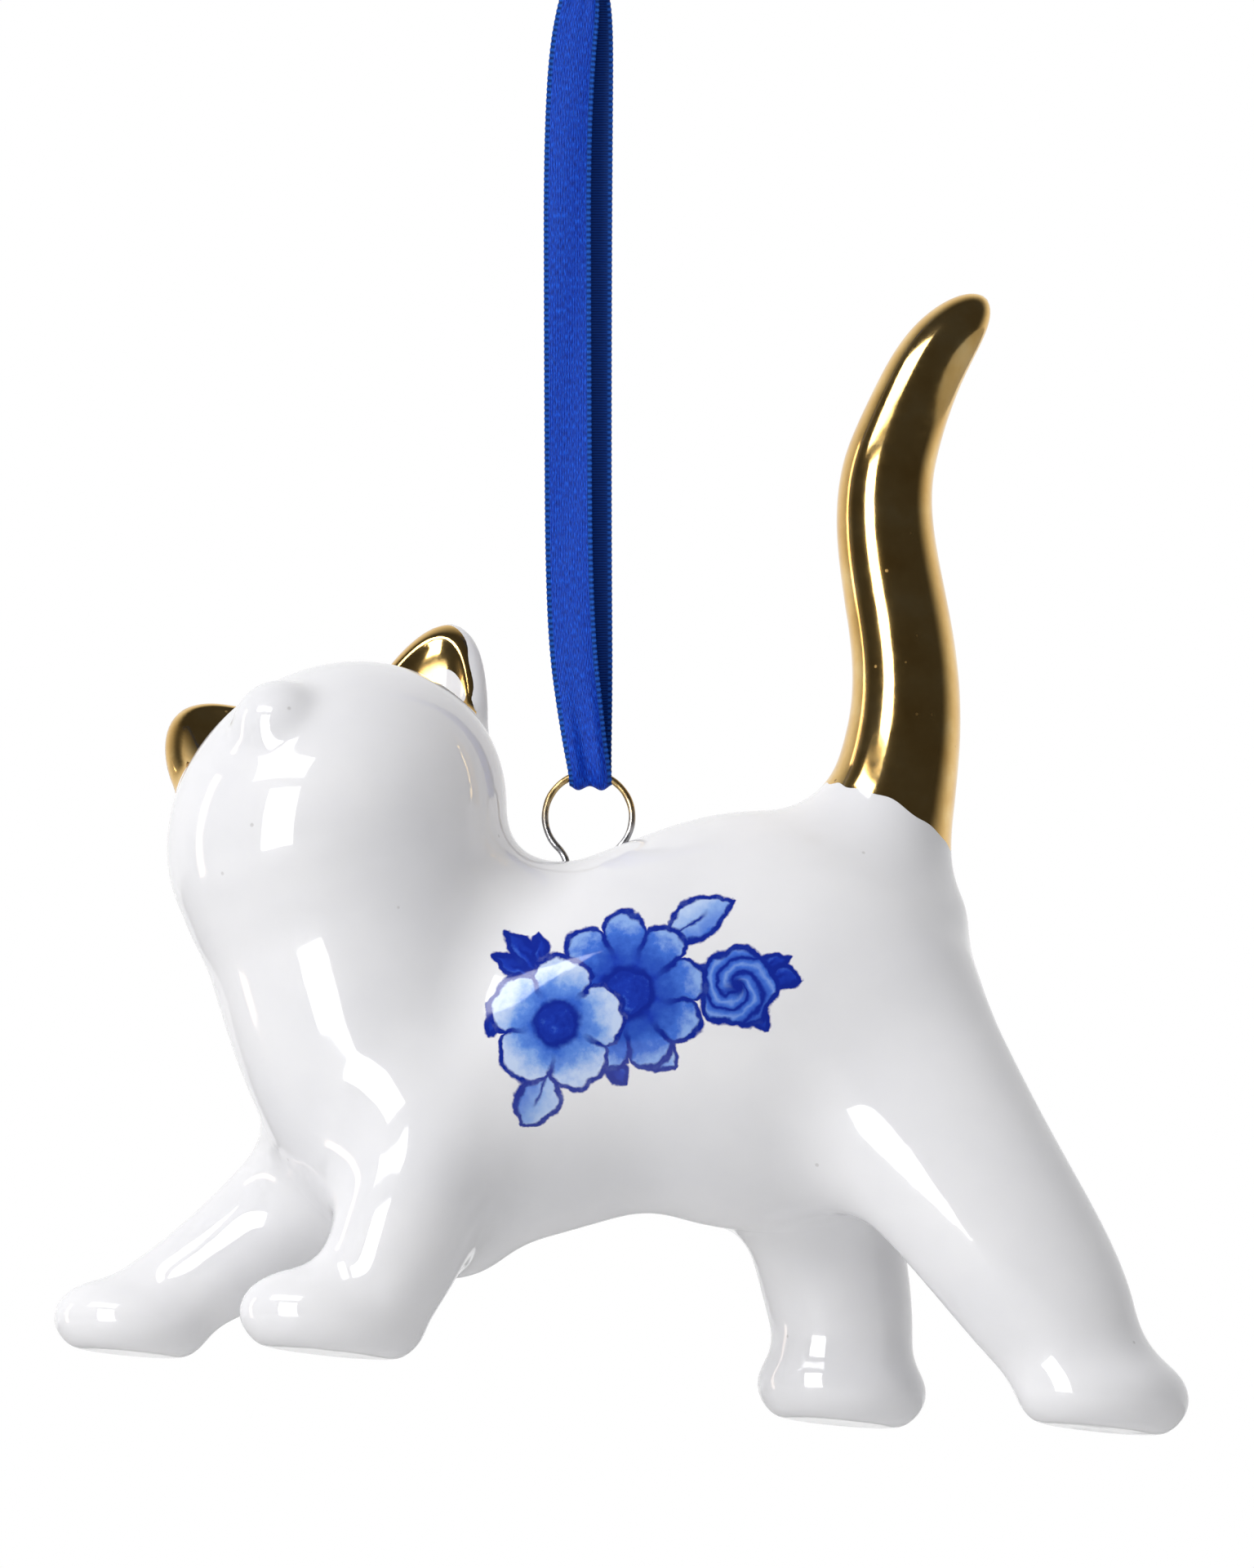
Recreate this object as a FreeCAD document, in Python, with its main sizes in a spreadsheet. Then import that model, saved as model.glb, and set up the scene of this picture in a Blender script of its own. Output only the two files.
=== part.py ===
import FreeCAD, Part
import math
import os

# A small porcelain cat that hangs from a ribbon: hollow cast body and head, solid limbs, ears and tail luted
# on, a wire eye fired into the back, and a flat satin ribbon passed through the eye and knotted above it.
# Frame: the origin is the fork under the knot, where the loop hangs. +Z is up, +X runs towards the tail and
# +Y away from the cat's left side. The castings are drawn on a level plane through the soles, with the wire
# eye above its origin, and each is then hung from the eye at the cat's own tilt.

Vector = FreeCAD.Vector

doc = FreeCAD.newDocument("hanging_cat")
sizes = doc.addObject("Spreadsheet::Sheet", "Sizes")
sheet_row = 0


def cell(alias, value):
    """Adds one named dimension to the sheet."""
    global sheet_row
    sheet_row += 1
    sizes.set("A%d" % sheet_row, alias)
    sizes.set("B%d" % sheet_row, "%s" % value)
    sizes.setAlias("B%d" % sheet_row, alias)


# Driving dimensions, in mm and degrees.
cell("hang_drop", 52.0)
cell("hang_tilt", 5.6)
cell("eye_height", 36.4)
cell("eye_radius", 2.78)
cell("eye_foot_half_gap", 1.0)
cell("eye_neck_bend", 2.0)
cell("eye_leg", 2.4)
cell("wire_radius", 0.225)
cell("body_wall", 2.1)
cell("chest_wall", 3.0)
cell("head_wall", 2.8)
cell("limb_wall", 1.7)
cell("head_long", 11.4)
cell("head_wide", 10.2)
cell("head_short", 10.0)
cell("head_lean", -45.0)
cell("muzzle_radius", 3.1)
cell("muzzle_reach", 8.7)
cell("paw_toe_out", 7.0)
cell("paw_top_angle", 66.0)
cell("ribbon_width", 3.0)
cell("ribbon_thickness", 0.25)
cell("ribbon_play", 0.08)
cell("bight_sag", 0.24)
cell("knot_half_width", 2.3)
cell("knot_half_depth", 1.7)
cell("knot_half_height", 1.9)
cell("tail_end_length", 7.5)
cell("tail_end_spread", 24.0)
cell("ear_hollow_scale", 0.78)
cell("ear_hollow_lift", 0.09)
cell("ear_hollow_shift", 1.45)

# Stations of each casting: place along, across and above the soles' plane, then half the depth in the
# upright plane and half the width. A station of no size is the rounded end.
CHEST = [
    (-3.6, 0.0, 6.9, 0.0, 0.0),
    (-4.6, 0.0, 8.3, 4.4, 4.2),
    (-6.4, 0.0, 12.2, 7.6, 7.2),
    (-9.7, 0.0, 18.2, 9.4, 8.8),
    (-12.7, -0.1, 24.8, 9.9, 9.2),
    (-15.3, -0.4, 31.6, 10.4, 9.5),
]
BARREL = [
    (-10.0, 0.0, 18.6, 8.2, 8.0),
    (-3.6, 0.0, 19.3, 10.6, 9.3),
    (1.7, 0.0, 21.9, 11.2, 9.8),
    (6.5, 0.0, 23.3, 12.5, 10.1),
    (11.4, 0.0, 24.3, 13.4, 10.2),
    (16.3, 0.0, 26.4, 12.4, 9.9),
    (20.6, 0.0, 28.0, 10.7, 8.8),
    (23.2, 0.0, 29.8, 7.6, 6.6),
    (25.0, 0.0, 30.6, 0.0, 0.0),
]
TAIL = [
    (19.6, 0.0, 33.0, 4.6, 4.4),
    (19.2, 0.0, 40.5, 4.0, 4.0),
    (19.4, 0.0, 46.0, 3.5, 3.5),
    (17.4, 0.0, 55.0, 3.2, 3.2),
    (17.0, 0.0, 61.3, 2.9, 2.9),
    (18.9, 0.0, 67.6, 2.4, 2.4),
    (20.9, 0.0, 70.8, 1.7, 1.7),
    (21.9, 0.0, 71.9, 0.9, 0.9),
    (22.3, 0.0, 72.3, 0.0, 0.0),
]
LEGS = {
    "front_leg_left": [
        (-6.6, -3.6, 19.5, 5.6, 4.6),
        (-7.6, -5.6, 14.0, 5.0, 4.4),
        (-8.9, -6.8, 8.6, 4.5, 4.2),
        (-10.6, -7.0, 3.2, 3.7, 3.6),
    ],
    "front_leg_right": [
        (-9.0, 3.8, 19.0, 5.6, 4.6),
        (-14.4, 5.8, 12.4, 4.7, 4.2),
        (-19.6, 6.8, 7.2, 3.8, 3.7),
        (-25.1, 7.0, 3.1, 2.9, 2.8),
    ],
    "hind_leg_left": [
        (16.6, -4.0, 25.4, 8.4, 5.4),
        (22.6, -5.3, 19.0, 7.2, 4.9),
        (28.0, -6.4, 12.7, 6.0, 4.6),
        (33.4, -6.5, 5.9, 4.8, 4.1),
        (35.2, -6.5, 3.2, 3.6, 3.6),
    ],
    "hind_leg_right": [
        (17.1, 4.4, 23.7, 7.4, 5.6),
        (16.9, 6.2, 14.7, 5.2, 4.8),
        (18.8, 6.8, 8.0, 4.7, 4.4),
        (20.0, 7.0, 3.0, 4.0, 3.7),
    ],
}
HOLLOW_LEGS = ("hind_leg_left", "hind_leg_right")
# Each paw: centre along, across and up, then half its length, width and height.
PAWS = {
    "front_leg_left": (-12.9, -7.0, 2.2, 6.0, 4.2, 3.3),
    "front_leg_right": (-26.0, 7.0, 2.0, 5.1, 4.0, 2.9),
    "hind_leg_left": (36.0, -6.5, 2.2, 5.6, 4.3, 3.3),
    "hind_leg_right": (19.6, 7.0, 2.2, 5.5, 4.5, 3.3),
}
PAW_SLICES = 5
# The head's centre, and the way from it to the middle of the muzzle.
HEAD = (-15.9, -0.8, 34.1)
MUZZLE = (-0.46, -0.64, 0.60)
# Each ear's root and tip, measured from the head's centre, and the way its cup faces.
EARS = {
    "ear_left": ((4.4, 3.8, 6.6), (6.0, 6.2, 14.5), (-0.34, -0.85, 0.40)),
    "ear_right": ((-6.7, 4.2, 3.9), (-10.7, 7.2, 7.3), (-0.03, -0.75, 0.61)),
}
# Sections of both ears: share of the height, half the width and half the thickness.
EAR = [
    (-0.15, 5.0, 2.1),
    (0.25, 4.4, 1.8),
    (0.6, 3.3, 1.35),
    (0.88, 1.8, 0.85),
    (1.0, 0.0, 0.0),
]


def read(alias):
    """Reads a dimension back from the sheet as a plain number."""
    return float(sizes.getContents(sizes.getCellFromAlias(alias)))


def table_cells(name, measures, rows):
    """Puts a table in the sheet, one named cell for each measure of each row."""
    for index, values in enumerate(rows):
        for measure, value in zip(measures, values):
            cell("%s_%d_%s" % (name, index, measure), value)


STATION = ("along", "across", "up", "deep", "wide")
table_cells("chest", STATION, CHEST)
table_cells("barrel", STATION, BARREL)
table_cells("tail", STATION, TAIL)
table_cells("ear", ("share", "wide", "thick"), EAR)
for leg_name, leg_stations in LEGS.items():
    table_cells(leg_name, STATION, leg_stations)
    table_cells(leg_name + "_paw", ("along", "across", "up", "long", "wide", "high"), [PAWS[leg_name]])
doc.recompute()


def bind(piece, **expressions):
    """Binds properties to expressions; a double underscore in a keyword stands for a dot."""
    for name, expression in expressions.items():
        piece.setExpression(name.replace("__", "."), expression)
    return piece


def along_axis(stations, index):
    """Direction of a chain of stations at one of them."""
    before = Vector(*stations[max(index - 1, 0)][:3])
    after = Vector(*stations[min(index + 1, len(stations) - 1)][:3])
    return (after - before).normalize()


def facing(direction, upright):
    """Rotation whose Z runs along direction and whose X lies near upright."""
    return FreeCAD.Rotation(upright, Vector(0, 0, 0), direction, "ZXY")


def loft(name, stations, inset=None, skip=(0, 0)):
    """Lofts ellipses through a casting's stations; inset names the wall that makes it a cavity."""
    sections = []
    for index in range(skip[0], len(stations) - skip[1]):
        alias = "Sizes.%s_%d" % (name, index)
        if read("%s_%d_deep" % (name, index)) == 0.0:
            section = doc.addObject("Part::Vertex", "%s_end" % name)
        else:
            section = doc.addObject("Part::Ellipse", "%s_section_%d" % (name, index))
            direction = along_axis(stations, index)
            section.Placement.Rotation = facing(direction, direction.cross(Vector(0, 1, 0)))
            take = " - Sizes.%s" % inset if inset else ""
            bind(section, MajorRadius=alias + "_deep" + take, MinorRadius=alias + "_wide" + take)
        bind(
            section,
            Placement__Base__x=alias + "_along",
            Placement__Base__y=alias + "_across",
            Placement__Base__z=alias + "_up",
        )
        sections.append(section)
    skin = doc.addObject("Part::Loft", name + ("_cavity" if inset else "_loft"))
    skin.Sections = sections
    skin.Solid = True
    skin.Ruled = False
    return skin


def fuse(name, *pieces):
    """Joins shapes into one casting."""
    joined = doc.addObject("Part::MultiFuse", name)
    joined.Shapes = list(pieces)
    joined.Refine = False
    return joined


def cut(name, base, tool):
    """Takes one shape away from another."""
    left = doc.addObject("Part::Cut", name)
    left.Base = base
    left.Tool = tool
    left.Refine = False
    return left


def ellipsoid(name, centre, along, across, upright, lean=0.0):
    """An ellipsoid with three half sizes given as expressions, leaning about the Y axis by some degrees."""
    ball = doc.addObject("Part::Ellipsoid", name)
    ball.Angle1 = -90
    ball.Angle2 = 90
    ball.Placement = FreeCAD.Placement(centre, FreeCAD.Rotation(Vector(0, 1, 0), lean))
    return bind(ball, Radius2=along, Radius3=across, Radius1=upright)


def wire_eye(name):
    """Round wire bent into a keyhole loop: two straight legs, two neck bends and the eye."""
    radius = read("eye_radius")
    foot = read("eye_foot_half_gap")
    bend = read("eye_neck_bend")
    middle = Vector(0, 0, read("eye_height"))
    neck_drop = math.sqrt((radius + bend) ** 2 - (foot + bend) ** 2)
    swing = math.atan2(foot + bend, neck_drop)
    edges = []
    outline = []
    for side in (-1, 1):
        neck_centre = middle + Vector(side * (foot + bend), 0, -neck_drop)
        leg_top = middle + Vector(side * foot, 0, -neck_drop)
        leg_end = leg_top - Vector(0, 0, read("eye_leg"))
        joins_eye = middle + Vector(side * math.sin(swing), 0, -math.cos(swing)) * radius
        to_leg = leg_top - neck_centre
        to_eye = joins_eye - neck_centre
        half_way = neck_centre + (to_leg + to_eye).normalize() * bend
        outline.append((leg_end, leg_top, half_way, joins_eye))
    first, last = outline
    edges.append(Part.LineSegment(first[0], first[1]).toShape())
    edges.append(Part.Arc(first[1], first[2], first[3]).toShape())
    edges.append(Part.Arc(first[3], middle + Vector(0, 0, radius), last[3]).toShape())
    edges.append(Part.Arc(last[3], last[2], last[1]).toShape())
    edges.append(Part.LineSegment(last[1], last[0]).toShape())
    path = doc.addObject("Part::Feature", name + "_path")
    path.Shape = Part.Wire(edges)
    profile = doc.addObject("Part::Circle", name + "_profile")
    profile.Placement.Base = first[0]
    bind(profile, Radius="Sizes.wire_radius")
    doc.recompute()
    wire = doc.addObject("Part::Sweep", name + "_sweep")
    wire.Sections = [profile]
    wire.Spine = (path, ["Edge%d" % (count + 1) for count in range(len(edges))])
    wire.Solid = True
    wire.Frenet = False
    return wire


def paw(name):
    """A rounded paw with a flat sole: level ellipses stacked from the sole to the rounded top."""
    cells = name + "_paw_0_"
    alias = "Sizes." + cells
    toe_out = -math.copysign(read("paw_toe_out"), read(cells + "across"))
    lowest = -math.degrees(math.asin(read(cells + "up") / read(cells + "high")))
    sections = []
    for count in range(PAW_SLICES + 1):
        angle = lowest + (read("paw_top_angle") - lowest) * count / PAW_SLICES
        section = doc.addObject("Part::Ellipse", "%s_paw_slice_%d" % (name, count))
        section.Placement.Rotation = FreeCAD.Rotation(Vector(0, 0, 1), toe_out)
        bind(
            section,
            MajorRadius="%slong * cos(%.3f deg)" % (alias, angle),
            MinorRadius="%swide * cos(%.3f deg)" % (alias, angle),
            Placement__Base__x=alias + "along",
            Placement__Base__y=alias + "across",
            Placement__Base__z="%sup + %shigh * sin(%.3f deg)" % (alias, alias, angle),
        )
        sections.append(section)
    top = doc.addObject("Part::Vertex", name + "_paw_top")
    bind(
        top,
        Placement__Base__x=alias + "along",
        Placement__Base__y=alias + "across",
        Placement__Base__z="%sup + %shigh" % (alias, alias),
    )
    stack = doc.addObject("Part::Loft", name + "_paw")
    stack.Sections = sections + [top]
    stack.Solid = True
    return stack


def leg(name, body):
    """A leg: tapering shank let into a rounded paw, cut where it meets the body; hind legs are hollow."""
    whole = fuse(name + "_whole", loft(name, LEGS[name]), paw(name))
    if name in HOLLOW_LEGS:
        whole = cut(name + "_hollow", whole, loft(name, LEGS[name], "limb_wall", skip=(0, 1)))
    return cut(name + "_joined", whole, body)


def ear_loft(name, root, rise, across, scale=""):
    """A pointed loft of the ear's sections from its root along its rise; scale is an expression's end."""
    sections = []
    for index, (share, wide, thick) in enumerate(EAR):
        if wide == 0.0:
            section = doc.addObject("Part::Vertex", name + "_tip")
        else:
            section = doc.addObject("Part::Ellipse", "%s_section_%d" % (name, index))
            section.Placement.Rotation = facing(rise, across)
            alias = "Sizes.ear_%d_" % index
            bind(section, MajorRadius=alias + "wide" + scale, MinorRadius=alias + "thick" + scale)
        section.Placement.Base = root + rise * share
        sections.append(section)
    skin = doc.addObject("Part::Loft", name + "_loft")
    skin.Sections = sections
    skin.Solid = True
    return skin


def ear(name, head):
    """A pointed ear, cupped towards its front and cut where it meets the head."""
    root, tip, front = (Vector(*values) for values in EARS[name])
    rise = tip - root
    across = rise.cross(front).normalize()
    forward = across.cross(rise).normalize()
    root = root + Vector(*HEAD)
    outer = ear_loft(name + "_outer", root, rise, across)
    cup_root = root + rise * read("ear_hollow_lift") + forward * read("ear_hollow_shift")
    cup_rise = rise * read("ear_hollow_scale")
    cup = ear_loft(name + "_cup", cup_root, cup_rise, across, " * Sizes.ear_hollow_scale")
    return cut(name + "_joined", cut(name + "_cupped", outer, cup), head)


def ribbon_loop():
    """The flat ribbon: down one side, round under the top of the wire eye, and up the other side."""
    half = read("ribbon_thickness") / 2.0
    bend = read("wire_radius") + read("ribbon_play")
    bottom = -read("hang_drop") - read("bight_sag")
    profiles = []
    for radius in (bend + 2.0 * half, bend):
        left_top = Vector(0, -radius, 0)
        left = Vector(0, -radius, bottom)
        low = Vector(0, 0, bottom - radius)
        right = Vector(0, radius, bottom)
        right_top = Vector(0, radius, 0)
        profiles.append((left_top, left, low, right, right_top))
    outer, inner = profiles
    outline = [
        Part.LineSegment(outer[0], outer[1]).toShape(),
        Part.Arc(outer[1], outer[2], outer[3]).toShape(),
        Part.LineSegment(outer[3], outer[4]).toShape(),
        Part.LineSegment(outer[4], inner[4]).toShape(),
        Part.LineSegment(inner[4], inner[3]).toShape(),
        Part.Arc(inner[3], inner[2], inner[1]).toShape(),
        Part.LineSegment(inner[1], inner[0]).toShape(),
        Part.LineSegment(inner[0], outer[0]).toShape(),
    ]
    face = doc.addObject("Part::Feature", "ribbon_outline")
    face.Shape = Part.Face(Part.Wire(outline))
    strip = doc.addObject("Part::Extrusion", "ribbon_strip")
    strip.Base = face
    strip.DirMode = "Custom"
    strip.Dir = Vector(1, 0, 0)
    strip.Solid = True
    bind(strip, LengthFwd="Sizes.ribbon_width")
    bind(strip, Placement__Base__x="-Sizes.ribbon_width / 2")
    return strip


def ribbon_knot():
    """The overhand knot that closes the loop, with the ribbon's two cut ends leaning apart above it."""
    height = read("knot_half_height")
    lump = ellipsoid(
        "knot_lump",
        Vector(0, 0, height),
        "Sizes.knot_half_width",
        "Sizes.knot_half_depth",
        "Sizes.knot_half_height",
    )
    ends = []
    for side in (-1, 1):
        end = doc.addObject("Part::Box", "ribbon_end_%s" % ("left" if side < 0 else "right"))
        half_width = read("ribbon_width") / 2.0
        lean = FreeCAD.Rotation(Vector(0, 1, 0), side * read("tail_end_spread"))
        foot = Vector(0, side * read("ribbon_thickness"), height)
        corner = Vector(-half_width, -read("ribbon_thickness") / 2.0, 0)
        end.Placement = FreeCAD.Placement(foot + lean.multVec(corner), lean)
        bind(
            end,
            Length="Sizes.ribbon_width",
            Width="Sizes.ribbon_thickness",
            Height="Sizes.tail_end_length",
        )
        ends.append(end)
    return fuse("ribbon_knot_lump", lump, *ends)


def hung():
    """The placement that hangs the level figure from its eye, tilted as it balances."""
    tilt = FreeCAD.Rotation(Vector(0, 1, 0), read("hang_tilt"))
    ring_height = -(read("hang_drop") + read("eye_radius") - read("wire_radius"))
    return FreeCAD.Placement(
        Vector(0, 0, ring_height) - tilt.multVec(Vector(0, 0, read("eye_height"))), tilt
    )


body_outer = fuse("body_outer", loft("chest", CHEST), loft("barrel", BARREL))
body_cavity = fuse(
    "body_cavity",
    loft("chest", CHEST, "chest_wall", skip=(2, 1)),
    loft("barrel", BARREL, "body_wall", skip=(1, 2)),
)
head_halves = ["Sizes.head_long", "Sizes.head_wide", "Sizes.head_short"]
skull = ellipsoid("skull", Vector(*HEAD), *head_halves, read("head_lean"))
muzzle_centre = Vector(*HEAD) + Vector(*MUZZLE).normalize() * read("muzzle_reach")
muzzle = ellipsoid("muzzle", muzzle_centre, *["Sizes.muzzle_radius"] * 3)
head_outer = fuse("head_outer", skull, muzzle)
cavity_halves = [half + " - Sizes.head_wall" for half in head_halves]
head_cavity = ellipsoid("head_cavity", Vector(*HEAD), *cavity_halves, read("head_lean"))
tail_shell = cut("tail_shell", loft("tail", TAIL), loft("tail", TAIL, "limb_wall", skip=(0, 4)))
drilled = cut("body_drilled", body_outer, wire_eye("eye_holes"))
wall = cut("body_hollow", cut("body_under_head", drilled, head_outer), body_cavity)

nodes = {
    "torso_casting": wall,
    "head_casting": cut("head", head_outer, head_cavity),
    "tail_casting": cut("tail_joined", tail_shell, body_outer),
    "hanging_wire": wire_eye("eye_wire"),
}
for leg_name in LEGS:
    nodes[leg_name] = leg(leg_name, body_outer)
for ear_name in EARS:
    nodes[ear_name] = ear(ear_name, head_outer)
doc.recompute()

# Every casting and the wire hang together; each becomes its own solid at its hung place.
for node_name, piece in nodes.items():
    piece.Placement = hung().multiply(piece.Placement)
    piece.Label = node_name
nodes["ribbon_loop"] = ribbon_loop()
nodes["ribbon_knot"] = ribbon_knot()
for node_name in ("ribbon_loop", "ribbon_knot"):
    nodes[node_name].Label = node_name
doc.recompute()

for piece in doc.Objects:
    if "Invalid" in piece.State or "Error" in piece.State:
        raise RuntimeError("failed object: %s %s" % (piece.Name, piece.State))
os.makedirs("parts", exist_ok=True)
for node_name, piece in nodes.items():
    shape = piece.Shape
    if shape.isNull() or not shape.isValid():
        raise RuntimeError("bad shape: " + node_name)
    print("%-18s solids %d volume %.1f mm3" % (node_name, len(shape.Solids), shape.Volume))
    shape.exportStep("parts/%s.step" % node_name)
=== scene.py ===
import math

import bpy
import numpy as np
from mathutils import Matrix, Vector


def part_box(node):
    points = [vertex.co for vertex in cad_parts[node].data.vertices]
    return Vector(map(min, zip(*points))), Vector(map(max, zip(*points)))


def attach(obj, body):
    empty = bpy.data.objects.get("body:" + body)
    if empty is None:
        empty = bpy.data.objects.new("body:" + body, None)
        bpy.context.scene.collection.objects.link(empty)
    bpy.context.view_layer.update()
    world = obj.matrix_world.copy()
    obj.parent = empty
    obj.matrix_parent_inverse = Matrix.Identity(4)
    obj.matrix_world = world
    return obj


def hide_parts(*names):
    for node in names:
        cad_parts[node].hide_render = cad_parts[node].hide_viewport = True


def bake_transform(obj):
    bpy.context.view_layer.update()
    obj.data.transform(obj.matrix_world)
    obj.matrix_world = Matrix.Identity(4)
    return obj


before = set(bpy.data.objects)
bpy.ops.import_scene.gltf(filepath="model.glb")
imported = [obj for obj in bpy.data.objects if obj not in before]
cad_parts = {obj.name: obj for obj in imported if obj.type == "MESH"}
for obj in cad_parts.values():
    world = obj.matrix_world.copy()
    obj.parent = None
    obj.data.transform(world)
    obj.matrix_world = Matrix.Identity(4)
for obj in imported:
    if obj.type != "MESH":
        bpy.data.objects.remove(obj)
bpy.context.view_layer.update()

import openvdb
from mathutils import Matrix, Vector

# A glazed porcelain cat hanging from a blue satin ribbon. All lengths are in metres, in the frame of the CAD
# model: the origin is the fork under the ribbon's knot, +Z is up and the cat's left side faces -Y.

MM = 0.001

scene = bpy.context.scene
wire_low, wire_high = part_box("hanging_wire")
WIRE_RADIUS = (wire_high.y - wire_low.y) / 2
EYE_RADIUS = (wire_high.x - wire_low.x) / 2 - WIRE_RADIUS
EYE_TOP = wire_high.z
EYE_CENTRE = Vector((0, 0, EYE_TOP - WIRE_RADIUS - EYE_RADIUS))
HANG_TILT = math.radians(5.6)
RIBBON_WIDTH = 3.0 * MM


# ---------------------------------------------------------------------------------------------- camera

VIEW_HEIGHT = 100 * MM
VIEW_ELEVATION = math.radians(-7.0)
VIEW_DISTANCE = 1.2
VIEW_CENTRE = Vector((2.45 * MM, 0, -52.45 * MM))


def make_camera():
    """A long lens a little below the cat, square to its left side."""
    data = bpy.data.cameras.new("camera")
    data.sensor_width = 36.0
    data.lens = data.sensor_width * VIEW_DISTANCE / VIEW_HEIGHT
    data.clip_start = 0.01
    camera = bpy.data.objects.new("camera", data)
    back = Vector((0, -math.cos(VIEW_ELEVATION), math.sin(VIEW_ELEVATION)))
    camera.location = VIEW_CENTRE + back * VIEW_DISTANCE
    camera.rotation_euler = back.to_track_quat("Z", "Y").to_euler()
    scene.collection.objects.link(camera)
    scene.camera = camera


make_camera()


# ------------------------------------------------------------------------------------- mesh and node helpers


def mesh_piece(name, vertices, faces):
    """A mesh object made from its vertices and faces."""
    mesh = bpy.data.meshes.new(name)
    mesh.from_pydata([tuple(v) for v in vertices], [], [tuple(f) for f in faces])
    mesh.validate()
    mesh.update()
    mesh.polygons.foreach_set("use_smooth", [True] * len(mesh.polygons))
    piece = bpy.data.objects.new(name, mesh)
    scene.collection.objects.link(piece)
    return piece


def grid_faces(rows, columns, closed_columns=False):
    """Quads of a grid of vertices stored row by row."""
    faces = []
    for row in range(rows - 1):
        after = row + 1
        for column in range(columns if closed_columns else columns - 1):
            beside = (column + 1) % columns
            faces.append(
                (
                    row * columns + column,
                    row * columns + beside,
                    after * columns + beside,
                    after * columns + column,
                )
            )
    return faces


def tube_faces(rows, columns):
    """Faces of a closed tube stored ring by ring, with both ends capped."""
    faces = grid_faces(rows, columns, closed_columns=True)
    last = (rows - 1) * columns
    faces.append(tuple(reversed(range(columns))))
    faces.append(tuple(range(last, last + columns)))
    return faces


def mark_weave(piece, marks):
    """Stores each vertex's place across and along the ribbon, and its face, for the satin material."""
    weave = piece.data.attributes.new("weave", "FLOAT_VECTOR", "POINT")
    weave.data.foreach_set("vector", np.array(marks, dtype=np.float32).ravel())


def spline_points(points, resolution=24):
    """Points along the smooth NURBS line that has these control points, which it doesn't pass through."""
    data = bpy.data.curves.new("route", "CURVE")
    data.dimensions = "3D"
    spline = data.splines.new("NURBS")
    spline.points.add(len(points) - 1)
    for control, place in zip(spline.points, points):
        control.co = (*place, 1.0)
    spline.order_u = 3
    spline.use_endpoint_u = True
    data.resolution_u = resolution
    holder = bpy.data.objects.new("route", data)
    scene.collection.objects.link(holder)
    mesh = bpy.data.meshes.new_from_object(holder)
    line = [v.co.copy() for v in mesh.vertices]
    bpy.data.objects.remove(holder)
    bpy.data.curves.remove(data)
    bpy.data.meshes.remove(mesh)
    return line


def even_steps(line, spacing):
    """The same line with points at an even spacing."""
    points = np.array([tuple(p) for p in line])
    keep = np.concatenate([[True], np.linalg.norm(np.diff(points, axis=0), axis=1) > 1e-9])
    points = points[keep]
    along = np.concatenate([[0.0], np.cumsum(np.linalg.norm(np.diff(points, axis=0), axis=1))])
    steps = np.linspace(0.0, along[-1], max(2, int(round(along[-1] / spacing)) + 1))
    return np.stack([np.interp(steps, along, points[:, axis]) for axis in range(3)], 1), steps


class Nodes:
    """A material's node tree, with short calls for the nodes used here."""

    def __init__(self, name):
        self.material = bpy.data.materials.new(name)
        self.material.use_nodes = True
        self.tree = self.material.node_tree
        self.shader = self.tree.nodes["Principled BSDF"]

    def add(self, kind, inputs=None, **settings):
        node = self.tree.nodes.new(kind)
        for key, value in settings.items():
            setattr(node, key, value)
        for key, value in (inputs or {}).items():
            self.put(node.inputs[key], value)
        return node

    def put(self, socket, value):
        if isinstance(value, bpy.types.NodeSocket):
            self.tree.links.new(value, socket)
        else:
            socket.default_value = value

    def math(self, operation, first, second=0.0, third=0.0, clamp=False):
        node = self.add("ShaderNodeMath", operation=operation, use_clamp=clamp)
        for socket, value in zip(node.inputs, (first, second, third)):
            self.put(socket, value)
        return node.outputs[0]

    def vector(self, operation, first, second=(0, 0, 0)):
        node = self.add("ShaderNodeVectorMath", operation=operation)
        self.put(node.inputs[0], first)
        self.put(node.inputs[1], second)
        return node

    def mix(self, amount, first, second):
        node = self.add("ShaderNodeMix", data_type="RGBA")
        self.put(node.inputs[0], amount)
        self.put(node.inputs[6], first)
        self.put(node.inputs[7], second)
        return node.outputs[2]

    def ramp(self, value, stops):
        node = self.add("ShaderNodeValToRGB")
        elements = node.color_ramp.elements
        while len(elements) < len(stops):
            elements.new(0.5)
        for element, (place, colour) in zip(elements, stops):
            element.position = place
            element.color = (*colour, 1.0)
        self.put(node.inputs[0], value)
        return node.outputs[0]

    def step(self, value, edge, soft):
        """0 below the edge and 1 above it, over a soft width."""
        node = self.add("ShaderNodeMapRange", interpolation_type="SMOOTHSTEP")
        self.put(node.inputs[0], value)
        self.put(node.inputs[1], edge - soft)
        self.put(node.inputs[2], edge + soft)
        return node.outputs[0]

    def noise(self, place, scale, detail=3.0, roughness=0.5):
        node = self.add("ShaderNodeTexNoise")
        self.put(node.inputs["Vector"], place)
        node.inputs["Scale"].default_value = scale
        node.inputs["Detail"].default_value = detail
        node.inputs["Roughness"].default_value = roughness
        return node.outputs["Fac"]

    def millimetres(self):
        """Object coordinates, in millimetres."""
        coordinates = self.add("ShaderNodeTexCoord").outputs["Object"]
        node = self.add("ShaderNodeVectorMath", operation="SCALE")
        self.put(node.inputs[0], coordinates)
        node.inputs["Scale"].default_value = 1 / MM
        return node.outputs[0]

    def bump(self, height, distance, strength=1.0):
        node = self.add("ShaderNodeBump")
        node.inputs["Strength"].default_value = strength
        node.inputs["Distance"].default_value = distance
        self.put(node.inputs["Height"], height)
        self.put(self.shader.inputs["Normal"], node.outputs[0])


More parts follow.
